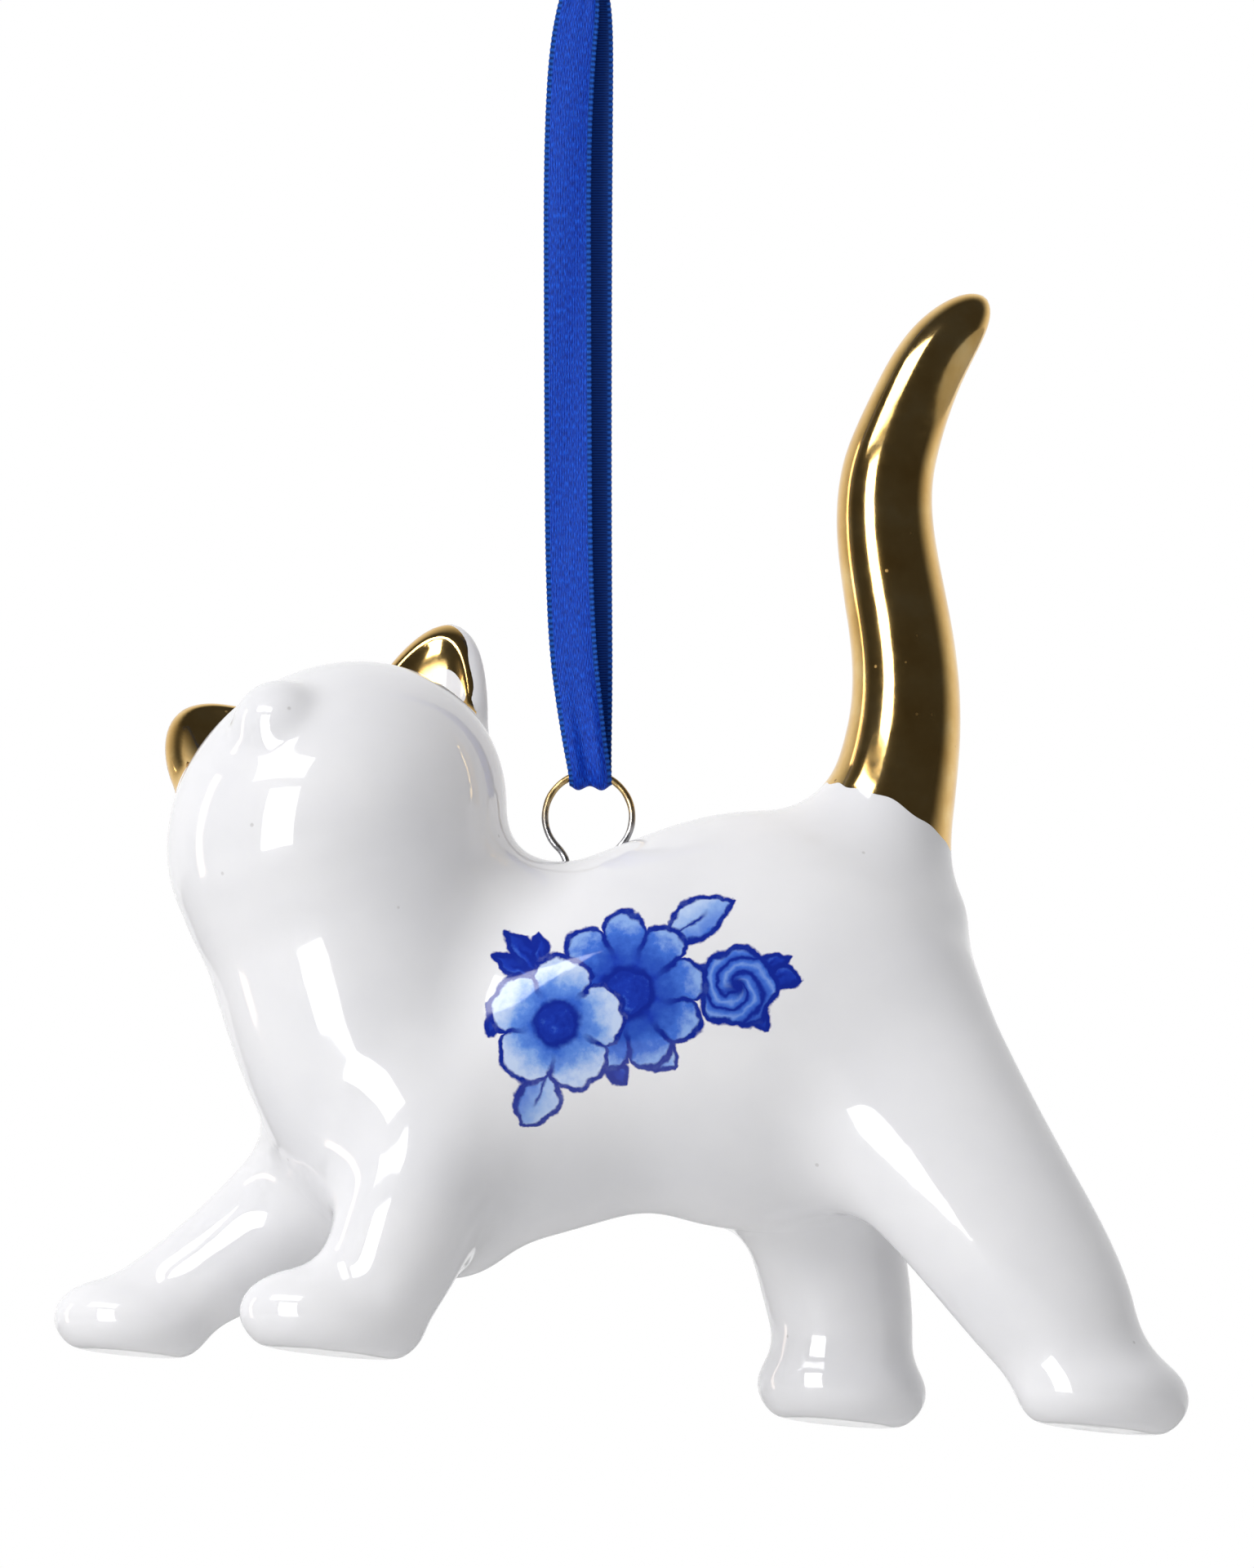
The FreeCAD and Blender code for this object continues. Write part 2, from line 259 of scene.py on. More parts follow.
# ---------------------------------------------------------------------------------------------- ribbon

# Control points of the ribbon's middle line: it leaves the knot, comes down in front, turns under the top of
# the eye and goes back up behind.
RIBBON_ROUTE = [
    Vector(point) * MM
    for point in (
        (-0.15, -0.3, 1.6),
        (-0.35, -0.4, 0.0),
        (-1.4, -0.7, -8.0),
        (-1.35, -0.62, -26.0),
        (-1.25, -0.7, -42.0),
        (-0.4, -0.62, -49.0),
        (0.1, -0.55, -51.9),
        (0.15, 0.0, -52.75),
        (0.1, 0.55, -51.9),
        (0.05, 0.62, -48.5),
        (-0.05, 0.6, -34.0),
        (0.0, 0.62, -12.0),
        (0.15, 0.4, 0.0),
        (0.1, 0.3, 1.6),
    )
]
RIBBON_STEP = 0.09 * MM
RIBBON_COLUMNS = 26
RIBBON_THICKNESS = 0.14 * MM
# Shares of the width that the ribbon loses where it gathers in the eye and where it is pinched in the knot,
# and how far each of them reaches along it.
EYE_NARROWING = 0.1
EYE_REACH = 5.0 * MM
KNOT_NARROWING = 0.5
KNOT_REACH = 1.6 * MM
# The woven edge: its pitch in millimetres, how far it scallops, and the thicker bead along it.
SELVAGE_PITCH = 0.36
SCALLOP = 0.02 * MM
BEAD_PLACE = 0.97
BEAD_WIDTH = 0.05
BEAD_HEIGHT = 0.5
# Depths of the ribbon's shape off its middle plane.
CROWN = 0.05 * MM
FOLD = 0.17 * MM
WANDER = 0.05 * MM
HUG = 0.06 * MM
TUCK = 0.12 * MM


def ribbon_section(share, along, gather, pinch):
    """Place across the ribbon and off its middle plane, in metres, for a share of its width from -1 to 1."""
    half = RIBBON_WIDTH / 2 * (1.0 - EYE_NARROWING * gather - KNOT_NARROWING * pinch)
    scallop = SCALLOP * math.sin(2 * math.pi * along / (SELVAGE_PITCH * MM)) * abs(share) ** 6
    across = share * (half + scallop)
    crown = CROWN * (1 - share**2)
    folds = gather * FOLD * (math.cos(1.7 * math.pi * (share - 0.55)) + 0.35)
    wander = WANDER * math.sin(along / (7.0 * MM) + 2.2 * share)
    hug = -gather * HUG * (1 - math.cos(1.3 * share))
    tucks = pinch * TUCK * math.cos(3.0 * math.pi * share)
    return across, crown + folds + wander + hug + tucks


def make_ribbon():
    """One flat ribbon as a closed strip with beaded selvages."""
    line, steps = even_steps(spline_points(RIBBON_ROUTE), RIBBON_STEP)
    low = min(range(len(line)), key=lambda index: line[index][2])
    vertices = []
    marks = []
    even = [2 * column / (RIBBON_COLUMNS - 1) - 1 for column in range(RIBBON_COLUMNS)]
    shares = [math.sin(math.pi / 2 * share) for share in even]
    for index, place in enumerate(line):
        ahead = line[min(index + 1, len(line) - 1)] - line[max(index - 1, 0)]
        tangent = Vector(ahead).normalized()
        across = Vector((1, 0, 0))
        across = (across - tangent * across.dot(tangent)).normalized()
        outward = tangent.cross(across)
        near_eye = abs(steps[index] - steps[low]) / EYE_REACH
        gather = math.exp(-(near_eye**2))
        pinch = math.exp(min(0.0, place[2] / KNOT_REACH))
        for face in (1, -1):
            order = shares if face == 1 else reversed(shares)
            for share in order:
                sideways, off = ribbon_section(share, steps[index], gather, pinch)
                bead = 1.0 + BEAD_HEIGHT * math.exp(-(((abs(share) - BEAD_PLACE) / BEAD_WIDTH) ** 2))
                off += face * RIBBON_THICKNESS / 2 * bead
                vertices.append(Vector(place) + across * sideways + outward * off)
                marks.append((share * RIBBON_WIDTH / 2, steps[index], float(face)))
    ribbon = mesh_piece("satin_ribbon", vertices, tube_faces(len(line), 2 * RIBBON_COLUMNS))
    mark_weave(ribbon, marks)
    return ribbon, [Vector(p) for p in line], float(steps[-1])


def satin_material():
    """Royal blue satin: long floats on the face, streaked with painted sheen, fine cross ribbing on the back,
    coloured in painted shade, and selvages with painted highlights on their loops.
    """
    nodes = Nodes("blue_satin")
    weave = nodes.add("ShaderNodeAttribute", attribute_name="weave", attribute_type="GEOMETRY")
    split = nodes.add("ShaderNodeSeparateXYZ", {0: weave.outputs["Vector"]}).outputs
    across = nodes.math("MULTIPLY", split[0], 1 / MM)
    along = nodes.math("MULTIPLY", split[1], 1 / MM)
    flat = nodes.add("ShaderNodeCombineXYZ", {0: across, 1: along, 2: 0.0}).outputs[0]
    is_face = nodes.step(split[2], 0.0, 0.3)
    stretched = nodes.add("ShaderNodeMapping", {0: flat, 3: (9.0, 1.1, 1.0)}).outputs[0]
    floats = nodes.noise(stretched, 2.2, 4.0, 0.6)
    warp = nodes.math("SINE", nodes.math("MULTIPLY", across, 2 * math.pi / 0.11))
    weft = nodes.math("SINE", nodes.math("MULTIPLY", along, 2 * math.pi / 0.17))
    edge = nodes.step(nodes.math("ABSOLUTE", across), 1.22, 0.05)
    selvage = nodes.math("SINE", nodes.math("MULTIPLY", along, 2 * math.pi / SELVAGE_PITCH))
    # Painted sheen: the face's colour runs in streaks from dark navy to bright blue, lighter where the floats
    # stand highest in the bump.
    shade = nodes.ramp(
        floats, [(0.36, (0.001, 0.010, 0.2)), (0.5, (0.002, 0.028, 0.42)), (0.66, (0.008, 0.11, 0.8))]
    )
    # Painted shade: the back face is coloured far darker than the face, and each rib's top lighter than the
    # hollow beside it.
    ribs_in_painted_shade = nodes.ramp(
        nodes.math("MULTIPLY_ADD", weft, 0.5, 0.5), [(0.0, (0.001, 0.012, 0.13)), (1.0, (0.003, 0.04, 0.3))]
    )
    body = nodes.mix(is_face, ribs_in_painted_shade, shade)
    # Painted highlights: the selvage loops are coloured lighter on their raised tops and darker between them.
    beads_with_painted_highlights = nodes.ramp(
        nodes.math("MULTIPLY_ADD", selvage, 0.5, 0.5), [(0.0, (0.001, 0.014, 0.14)), (1.0, (0.01, 0.1, 0.55))]
    )
    nodes.put(nodes.shader.inputs["Base Color"], nodes.mix(edge, body, beads_with_painted_highlights))
    nodes.shader.inputs["Sheen Weight"].default_value = 0.08
    nodes.shader.inputs["Sheen Roughness"].default_value = 0.35
    nodes.shader.inputs["Sheen Tint"].default_value = (0.35, 0.5, 1.0, 1.0)
    nodes.shader.inputs["Specular IOR Level"].default_value = 0.35
    nodes.shader.inputs["Specular Tint"].default_value = (0.25, 0.5, 1.0, 1.0)
    rough = nodes.math("MULTIPLY_ADD", floats, 0.25, 0.3)
    nodes.put(nodes.shader.inputs["Roughness"], nodes.math("ADD", rough, nodes.math("MULTIPLY", edge, 0.2)))
    threads = nodes.math("MULTIPLY", nodes.math("ADD", warp, nodes.math("MULTIPLY", floats, 2.0)), 0.4)
    face_height = nodes.math("MULTIPLY", threads, is_face)
    back_height = nodes.math("MULTIPLY", weft, nodes.math("SUBTRACT", 1.0, is_face))
    edge_height = nodes.math("MULTIPLY", selvage, edge)
    height = nodes.math("ADD", nodes.math("ADD", face_height, back_height), edge_height)
    nodes.bump(height, 0.02 * MM, 0.8)
    return nodes.material


# ------------------------------------------------------------------------------------------- glazed skin

# The castings are joined as solids in a field of distances, so that the glaze flows over their joints.
VOXEL = 0.25 * MM
MARGIN = 5.4 * MM
BAND = 23


class Field:
    """Distances to a surface on a regular grid, negative inside, in metres."""

    low = np.zeros(3, dtype=int)
    shape = (1, 1, 1)

    def __init__(self, values):
        self.values = values

    @classmethod
    def cover(cls, nodes):
        """Sets the grid to cover these CAD nodes."""
        lows, highs = zip(*(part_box(node) for node in nodes))
        low = np.min([tuple(v) for v in lows], axis=0) - MARGIN
        high = np.max([tuple(v) for v in highs], axis=0) + MARGIN
        cls.low = np.floor(low / VOXEL).astype(int)
        cls.shape = tuple((np.ceil(high / VOXEL).astype(int) - cls.low + 1).tolist())

    @classmethod
    def from_mesh(cls, points, triangles, quads=None):
        """The field around a closed mesh."""
        transform = openvdb.createLinearTransform(voxelSize=VOXEL)
        grid = openvdb.FloatGrid.createLevelSetFromPolygons(
            np.ascontiguousarray(points, dtype=np.float32),
            triangles=None if triangles is None else np.ascontiguousarray(triangles, dtype=np.uint32),
            quads=None if quads is None else np.ascontiguousarray(quads, dtype=np.uint32),
            transform=transform,
            halfWidth=BAND,
        )
        values = np.empty(cls.shape, dtype=np.float32)
        grid.copyToArray(values, ijk=tuple(cls.low.tolist()))
        return cls(values)

    @classmethod
    def from_node(cls, node):
        """The field around a CAD casting, with its hollow filled."""
        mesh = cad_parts[node].data
        mesh.calc_loop_triangles()
        points = np.empty(len(mesh.vertices) * 3, dtype=np.float32)
        mesh.vertices.foreach_get("co", points)
        triangles = np.empty(len(mesh.loop_triangles) * 3, dtype=np.int32)
        mesh.loop_triangles.foreach_get("vertices", triangles)
        return cls.from_mesh(points.reshape(-1, 3), triangles.reshape(-1, 3)).filled()

    def filled(self):
        """Cells with a wall in at least five of the six directions are inside."""
        solid = self.values < 0
        walls = np.zeros(self.shape, dtype=np.int8)
        for axis in range(3):
            walls += np.maximum.accumulate(solid, axis=axis)
            walls += np.flip(np.maximum.accumulate(np.flip(solid, axis), axis=axis), axis)
        hollow = (walls >= 5) & ~solid
        return Field(np.where(hollow, -np.abs(self.values), self.values).astype(np.float32))

    def joined(self, other, fillet=0.0):
        """Both solids together, with their joint filled to a fillet."""
        if fillet == 0.0:
            return Field(np.minimum(self.values, other.values))
        share = np.clip(1 - np.abs(self.values - other.values) / fillet, 0, 1)
        limit = BAND * VOXEL
        known = np.clip((limit - np.maximum(self.values, other.values)) / (0.3 * limit), 0, 1)
        return Field(np.minimum(self.values, other.values) - known * share**2 * fillet / 4)

    def surface(self, level=0.0):
        """Points and quads of the surface at a level."""
        grid = openvdb.FloatGrid(background=float(self.values.max()))
        grid.copyFromArray(self.values, ijk=tuple(self.low.tolist()))
        grid.transform = openvdb.createLinearTransform(voxelSize=VOXEL)
        return grid.convertToQuads(isovalue=level)

    def rolled(self, radius):
        """Creases filled as if by rolling a ball of this radius along them."""
        points, quads = self.surface(radius)
        grown = Field.from_mesh(points, None, quads)
        return Field(grown.values + np.float32(radius))

    def softened(self, reach):
        """The field blurred over a reach, which rounds small facets and ridges."""
        cells = max(1, int(math.ceil(3 * reach / VOXEL)))
        weights = np.exp(-0.5 * (np.arange(-cells, cells + 1) * VOXEL / reach) ** 2)
        weights = (weights / weights.sum()).astype(np.float32)
        values = self.values
        for axis in range(3):
            padding = [(cells, cells) if a == axis else (0, 0) for a in range(3)]
            padded = np.pad(values, padding, mode="edge")
            total = np.zeros_like(values)
            for shift, weight in enumerate(weights):
                window = [slice(None)] * 3
                window[axis] = slice(shift, shift + values.shape[axis])
                total += weight * padded[tuple(window)]
            values = total
        return Field(values)

    def sample(self, points):
        """Distances at any points, in metres."""
        place = points / VOXEL - self.low
        base = np.clip(np.floor(place).astype(int), 0, np.array(self.shape) - 2)
        part = place - base
        total = np.zeros(len(points))
        for corner in np.ndindex(2, 2, 2):
            weight = np.ones(len(points))
            for axis in range(3):
                weight = weight * (part[:, axis] if corner[axis] else 1 - part[:, axis])
            total += weight * self.values[tuple((base + corner).T)]
        return total

    def normals(self, points):
        """Outward directions of the surface at points on it."""
        reach = VOXEL * 1.2
        slopes = [
            self.sample(points + shift) - self.sample(points - shift) for shift in np.eye(3) * reach
        ]
        slope = np.stack(slopes, 1)
        return slope / np.linalg.norm(slope, axis=1, keepdims=True)


# The castings in the order they are joined, with the fillet of each joint, and the radius of the ball that
# is rolled along the creases after each step.
STEPS = (
    (("torso_casting",), 0.0, 4.8 * MM),
    (("hind_leg_left",), 2.5 * MM, 4.8 * MM),
    (("hind_leg_right", "front_leg_left", "front_leg_right", "tail_casting"), 2.0 * MM, 2.4 * MM),
    (("head_casting",), 1.2 * MM, 1.2 * MM),
)
WHITE_CASTINGS = [node for nodes, _, _ in STEPS for node in nodes if node != "tail_casting"]
EARS = ("ear_left", "ear_right")
SOFTENING = 0.42 * MM
EAR_SOFTENING = 0.16 * MM
EAR_FILLET = 1.1 * MM


def skin_fields():
    """The whole glazed figure, the same without its ears, and the ears alone."""
    Field.cover([*WHITE_CASTINGS, "tail_casting", *EARS])
    body = None
    for nodes, fillet, crease in STEPS:
        for node in nodes:
            casting = Field.from_node(node)
            body = body.joined(casting, fillet) if body else casting
        body = body.rolled(crease)
    body = body.softened(SOFTENING)
    left, right = (Field.from_node(node).softened(EAR_SOFTENING) for node in EARS)
    ears = left.joined(right)
    return body.joined(ears, EAR_FILLET), body, ears


def largest_part(points, quads):
    """Only the largest connected part of a mesh."""
    labels = np.arange(len(points))
    while True:
        lowest = labels[quads].min(axis=1)
        fresh = labels.copy()
        for corner in range(4):
            np.minimum.at(fresh, quads[:, corner], lowest)
        fresh = fresh[fresh]
        if np.array_equal(fresh, labels):
            break
        labels = fresh
    values, counts = np.unique(labels, return_counts=True)
    keep = labels == values[counts.argmax()]
    index = np.cumsum(keep) - 1
    return points[keep], index[quads[keep[quads[:, 0]]]]


def split_at(points, triangles, values):
    """Cuts triangles along the line where values are 0; returns points, values and triangles."""
    values = np.where(np.abs(values) < 1e-7, 1e-7, values)
    inside = values > 0
    count = inside[triangles].sum(axis=1)
    kept = [triangles[(count == 0) | (count == 3)]]
    mixed = triangles[(count == 1) | (count == 2)]
    lone_is_inside = inside[mixed].sum(axis=1) == 1
    lone = np.argmax(inside[mixed] == lone_is_inside[:, None], axis=1)
    rows = np.arange(len(mixed))
    a, b, c = (mixed[rows, (lone + turn) % 3] for turn in range(3))
    pairs = np.sort(np.concatenate([np.stack([a, b], 1), np.stack([a, c], 1)]), axis=1)
    edges, which = np.unique(pairs, axis=0, return_inverse=True)
    which = which.reshape(-1)
    share = values[edges[:, 0]] / (values[edges[:, 0]] - values[edges[:, 1]])
    fresh = points[edges[:, 0]] + (points[edges[:, 1]] - points[edges[:, 0]]) * share[:, None]
    on_ab = len(points) + which[: len(a)]
    on_ac = len(points) + which[len(a) :]
    kept += [np.stack([a, on_ab, on_ac], 1), np.stack([on_ab, b, c], 1), np.stack([on_ab, c, on_ac], 1)]
    return (
        np.concatenate([points, fresh]),
        np.concatenate([values, np.zeros(len(fresh))]),
        np.concatenate(kept),
    )


# The gold starts above this wavy line on the tail, and on each ear in front of a slanting plane.
TAIL_GOLD_START = -52.5
TAIL_GOLD_BEND = 0.045
TAIL_GOLD_FRONT = 13.5
TAIL_REGION = 9.0
EAR_GOLD = {"ear_left": ((-0.48, -0.80, 0.36), -0.35), "ear_right": ((0.20, -0.86, 0.46), -1.2)}
GOLD_BASE_GAP = 0.1


def tail_gold(points):
    """Positive where the tail is gilded, in millimetres."""
    x, y, z = (points / MM).T
    border = TAIL_GOLD_START - TAIL_GOLD_BEND * np.maximum(x - TAIL_GOLD_FRONT, 0) ** 2
    wave = 0.16 * np.sin(1.9 * x + 0.8 * y) + 0.1 * np.sin(3.7 * y - 1.3 * x)
    return np.where(x > TAIL_REGION, z - border - wave, -1.0)


def ear_gold(points, body, ears):
    """Positive where an ear is gilded, in millimetres."""
    on_ear = (body.sample(points) - ears.sample(points)) / MM / 2 - GOLD_BASE_GAP
    best = np.full(len(points), -1.0)
    for node, (front, start) in EAR_GOLD.items():
        low, high = (np.array(corner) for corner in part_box(node))
        reach = (points - (low + high) / 2) / MM @ np.array(front)
        near = np.all((points > low - 1 * MM) & (points < high + 1 * MM), axis=1)
        wave = 0.05 * np.sin(points @ np.array([3.0, 1.0, 2.0]) / MM)
        best = np.where(near, np.minimum(reach - start + wave, on_ear), best)
    return best


def skin_piece(name, points, triangles, normals):
    """A piece of the skin, shaded by the whole figure's own normals."""
    used = np.unique(triangles)
    index = np.zeros(len(points), dtype=int)
    index[used] = np.arange(len(used))
    piece = mesh_piece(name, points[used], index[triangles])
    piece.data.normals_split_custom_set_from_vertices([tuple(n) for n in normals[used]])
    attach(piece, "cat")
    return piece


def make_skin():
    """The glazed body, the gilded tail and the gilded ear linings."""
    whole, body, ears = skin_fields()
    points, quads = whole.surface()
    points, quads = largest_part(points.astype(float), quads.astype(int))
    for _ in range(2):
        points = points - whole.normals(points) * whole.sample(points)[:, None]
    triangles = np.concatenate([quads[:, [0, 1, 2]], quads[:, [0, 2, 3]]])
    points, _, triangles = split_at(points, triangles, tail_gold(points))
    points, _, triangles = split_at(points, triangles, ear_gold(points, body, ears))
    normals = whole.normals(points)
    middles = points[triangles].mean(axis=1)
    on_tail = tail_gold(middles) > 0
    on_ears = ear_gold(middles, body, ears) > 0
    return (
        skin_piece("glazed_body", points, triangles[~on_tail & ~on_ears], normals),
        skin_piece("gilded_tail", points, triangles[on_tail], normals),
        skin_piece("gilded_ears", points, triangles[on_ears & ~on_tail], normals),
    )


# ------------------------------------------------------------------------------------------ painted flowers

# The flowers are painted on the left flank, and laid out in millimetres from the middle of the spray, on a
# plane seen from a little below the cat.
SPRAY_MIDDLE = (3.2, -66.4)
SPRAY_SLOPE = (0.9925, -0.1219)
INK = (0.006, 0.022, 0.30)
DEEP = (0.012, 0.045, 0.44)
MIDDLE = (0.06, 0.17, 0.66)
PALE = (0.26, 0.42, 0.80)
FAINT = (0.55, 0.68, 0.90)


class Spray:
    """Nodes that paint flowers and leaves over a base colour."""

    def __init__(self, nodes, base):
        self.nodes = nodes
        self.colour = base
        self.cover = None
        place = nodes.millimetres()
        split = nodes.add("ShaderNodeSeparateXYZ", {0: place}).outputs
        height = nodes.math("MULTIPLY", split[2], SPRAY_SLOPE[0])
        height = nodes.math("MULTIPLY_ADD", split[1], SPRAY_SLOPE[1], height)
        sideways = nodes.math("SUBTRACT", split[0], SPRAY_MIDDLE[0])
        height = nodes.math("SUBTRACT", height, SPRAY_MIDDLE[1])
        flat = nodes.add("ShaderNodeCombineXYZ", {0: sideways, 1: height, 2: 0.0}).outputs[0]
        waver = nodes.add("ShaderNodeTexNoise")
        nodes.put(waver.inputs["Vector"], place)
        waver.inputs["Scale"].default_value = 0.9
        waver.inputs["Detail"].default_value = 3.0
        shift = nodes.vector("SUBTRACT", waver.outputs["Color"], (0.5, 0.5, 0.5)).outputs[0]
        shift = nodes.vector("MULTIPLY", shift, (0.9, 0.9, 0.0)).outputs[0]
        self.flat = nodes.vector("ADD", flat, shift).outputs[0]
        self.wash = nodes.noise(place, 1.4, 4.0, 0.6)
        self.side = nodes.step(nodes.math("MULTIPLY", split[1], -1.0), 2.0, 0.5)

    def lay(self, edge, lines, tone, stops, strength=1.0):
        """Paints a shape: edge is the depth inside it, lines are inked, tone chooses the wash."""
        nodes = self.nodes
        cover = nodes.math("MULTIPLY", nodes.step(edge, 0.0, 0.09), self.side)
        rim = nodes.math("SUBTRACT", 1.0, nodes.step(edge, 0.4, 0.1))
        ink = nodes.math("MAXIMUM", rim, lines)
        ink = nodes.math("MULTIPLY", ink, nodes.math("MULTIPLY_ADD", self.wash, 0.5, 0.75), clamp=True)
        tone = nodes.math("ADD", tone, nodes.math("MULTIPLY_ADD", self.wash, 0.5, -0.25))
        wash = nodes.ramp(tone, stops)
        paint = nodes.mix(nodes.math("MULTIPLY", ink, strength), wash, (*INK, 1.0))
        self.colour = nodes.mix(cover, self.colour, paint)

    def polar(self, centre):
        """Distance and angle round a centre."""
        nodes = self.nodes
        away = nodes.vector("SUBTRACT", self.flat, (*centre, 0.0)).outputs[0]
        split = nodes.add("ShaderNodeSeparateXYZ", {0: away}).outputs
        distance = nodes.vector("LENGTH", away).outputs["Value"]
        return distance, nodes.math("ARCTAN2", split[1], split[0])

    def flower(self, centre, radius, petals, turn, lobe, notch, stops, eye):
        """A round open flower with a number of petals, each ending in a lobe, and a dark eye."""
        nodes = self.nodes
        distance, angle = self.polar(centre)
        share = nodes.math("FRACT", nodes.math("MULTIPLY_ADD", angle, petals / (2 * math.pi), turn))
        share = nodes.math("ABSOLUTE", nodes.math("SUBTRACT", share, 0.5))
        round_petal = nodes.math("POWER", nodes.math("COSINE", nodes.math("MULTIPLY", share, math.pi)), 0.6)
        reach = nodes.math("MULTIPLY_ADD", round_petal, lobe * radius, (1 - lobe) * radius)
        dent = nodes.math("SUBTRACT", 1.0, nodes.step(share, 0.0, 0.16))
        reach = nodes.math("SUBTRACT", reach, nodes.math("MULTIPLY", dent, notch * radius))
        edge = nodes.math("SUBTRACT", reach, distance)
        gap = nodes.math("MULTIPLY", nodes.math("SUBTRACT", 0.5, share), distance)
        gap = nodes.math("MULTIPLY", gap, 2 * math.pi / petals)
        between = nodes.math("SUBTRACT", 1.0, nodes.step(gap, 0.17, 0.1))
        between = nodes.math("MULTIPLY", between, nodes.step(distance, 0.5 * radius, 0.15 * radius))
        ring = nodes.math("SUBTRACT", 1.0, nodes.step(distance, eye * 1.05, 0.22))
        lines = nodes.math("MAXIMUM", between, ring)
        tone = nodes.math("DIVIDE", distance, reach)
        tone = nodes.math("MULTIPLY_ADD", nodes.math("POWER", share, 2.0), -0.9, tone)
        self.lay(edge, lines, tone, stops)
        grain = nodes.math("MULTIPLY_ADD", self.wash, 1.2, -0.1)
        core = nodes.math("SUBTRACT", eye * 0.8, distance)
        self.lay(core, 0.0, grain, [(0.0, INK), (0.6, DEEP), (1.0, MIDDLE)], 0.4)

    def leaf(self, start, end, width, stops, bow=0.0):
        """A pointed leaf or petal between two points, with a vein."""
        nodes = self.nodes
        dx, dy = end[0] - start[0], end[1] - start[1]
        length = math.hypot(dx, dy)
        away = nodes.vector("SUBTRACT", self.flat, (*start, 0.0)).outputs[0]
        along = nodes.vector("DOT_PRODUCT", away, (dx / length**2, dy / length**2, 0.0)).outputs["Value"]
        aside = nodes.vector("DOT_PRODUCT", away, (-dy / length, dx / length, 0.0)).outputs["Value"]
        arch = nodes.math("SINE", nodes.math("MULTIPLY", nodes.math("MAXIMUM", along, 0.0), math.pi))
        aside = nodes.math("SUBTRACT", aside, nodes.math("MULTIPLY", arch, bow))
        body = nodes.math("POWER", nodes.math("MAXIMUM", arch, 0.0), 0.75)
        edge = nodes.math("SUBTRACT", nodes.math("MULTIPLY", body, width), nodes.math("ABSOLUTE", aside))
        past = nodes.math("SUBTRACT", 0.5, nodes.math("ABSOLUTE", nodes.math("SUBTRACT", along, 0.5)))
        edge = nodes.math("MINIMUM", edge, nodes.math("MULTIPLY", past, 2 * length))
        vein = nodes.math("SUBTRACT", 1.0, nodes.step(nodes.math("ABSOLUTE", aside), 0.1, 0.1))
        vein = nodes.math("MULTIPLY", vein, nodes.math("SUBTRACT", 1.0, nodes.step(along, 0.6, 0.1)))
        tone = nodes.math("MULTIPLY_ADD", aside, 0.5 / width, 0.5)
        self.lay(edge, vein, tone, stops)

    def bud(self, centre, radius):
        """A half-open round bud with petals wrapped round one another."""
        nodes = self.nodes
        distance, angle = self.polar(centre)
        lobes = nodes.math("SINE", nodes.math("MULTIPLY_ADD", angle, 5.0, 0.9))
        reach = nodes.math("MULTIPLY_ADD", lobes, 0.06 * radius, 0.95 * radius)
        edge = nodes.math("SUBTRACT", reach, distance)
        spiral = nodes.math("MULTIPLY_ADD", angle, 3 / (2 * math.pi), nodes.math("MULTIPLY", distance, 0.95))
        spiral = nodes.math("ABSOLUTE", nodes.math("SUBTRACT", nodes.math("FRACT", spiral), 0.5))
        lines = nodes.math("SUBTRACT", 1.0, nodes.step(spiral, 0.1, 0.09))
        core = nodes.math("SUBTRACT", 1.0, nodes.step(distance, 0.2 * radius, 0.12 * radius))
        tone = nodes.math("MULTIPLY", spiral, 1.6)
        self.lay(edge, nodes.math("MAXIMUM", lines, core), tone, [(0.0, DEEP), (0.5, MIDDLE), (1.0, PALE)])


def paint_spray(nodes, base):
    """The whole spray: two open flowers, a bud, leaves and small petals."""
    spray = Spray(nodes, base)
    light = [(0.25, (0.04, 0.13, 0.6)), (0.5, (0.12, 0.27, 0.74)), (0.6, PALE), (0.82, (0.56, 0.67, 0.89))]
    middle = [(0.2, DEEP), (0.5, (0.03, 0.1, 0.52)), (0.7, MIDDLE), (0.88, PALE)]
    pale_leaf = [(0.1, MIDDLE), (0.5, PALE), (0.9, FAINT)]
    dark_leaf = [(0.1, INK), (0.6, DEEP), (0.9, MIDDLE)]
    spray.leaf((1.7, 4.2), (6.0, 7.0), 1.45, pale_leaf, 0.3)
    spray.leaf((-0.4, -1.2), (2.4, -3.6), 1.3, pale_leaf)
    spray.leaf((-2.2, -2.4), (-0.8, -4.7), 0.8, dark_leaf)
    spray.leaf((-8.2, -1.4), (-9.6, 0.6), 0.7, dark_leaf)
    spray.leaf((-8.2, 0.6), (-9.7, -1.6), 0.7, dark_leaf)
    spray.leaf((-6.2, 2.4), (-9.3, 3.6), 0.8, dark_leaf, 0.2)
    spray.leaf((-6.3, 2.2), (-8.6, 5.1), 0.8, dark_leaf, -0.2)
    spray.leaf((-6.0, 2.2), (-6.4, 4.9), 0.7, dark_leaf)
    spray.leaf((7.6, 1.6), (10.4, 2.1), 0.9, dark_leaf, 0.3)
    spray.leaf((6.8, 0.6), (8.2, -1.3), 0.7, dark_leaf)
    spray.leaf((7.0, 2.6), (9.6, 3.4), 0.7, dark_leaf)
    spray.bud((6.2, 1.5), 2.75)
    spray.flower((-0.75, 1.15), 5.2, 9, 0.2, 0.2, 0.0, middle, 1.7)
    spray.leaf((-5.6, -3.6), (-7.5, -7.3), 1.5, pale_leaf, 0.25)
    spray.flower((-5.2, -0.8), 4.55, 5, 0.35, 0.27, 0.07, light, 1.45)
    return spray.colour


# ---------------------------------------------------------------------------------------- other materials


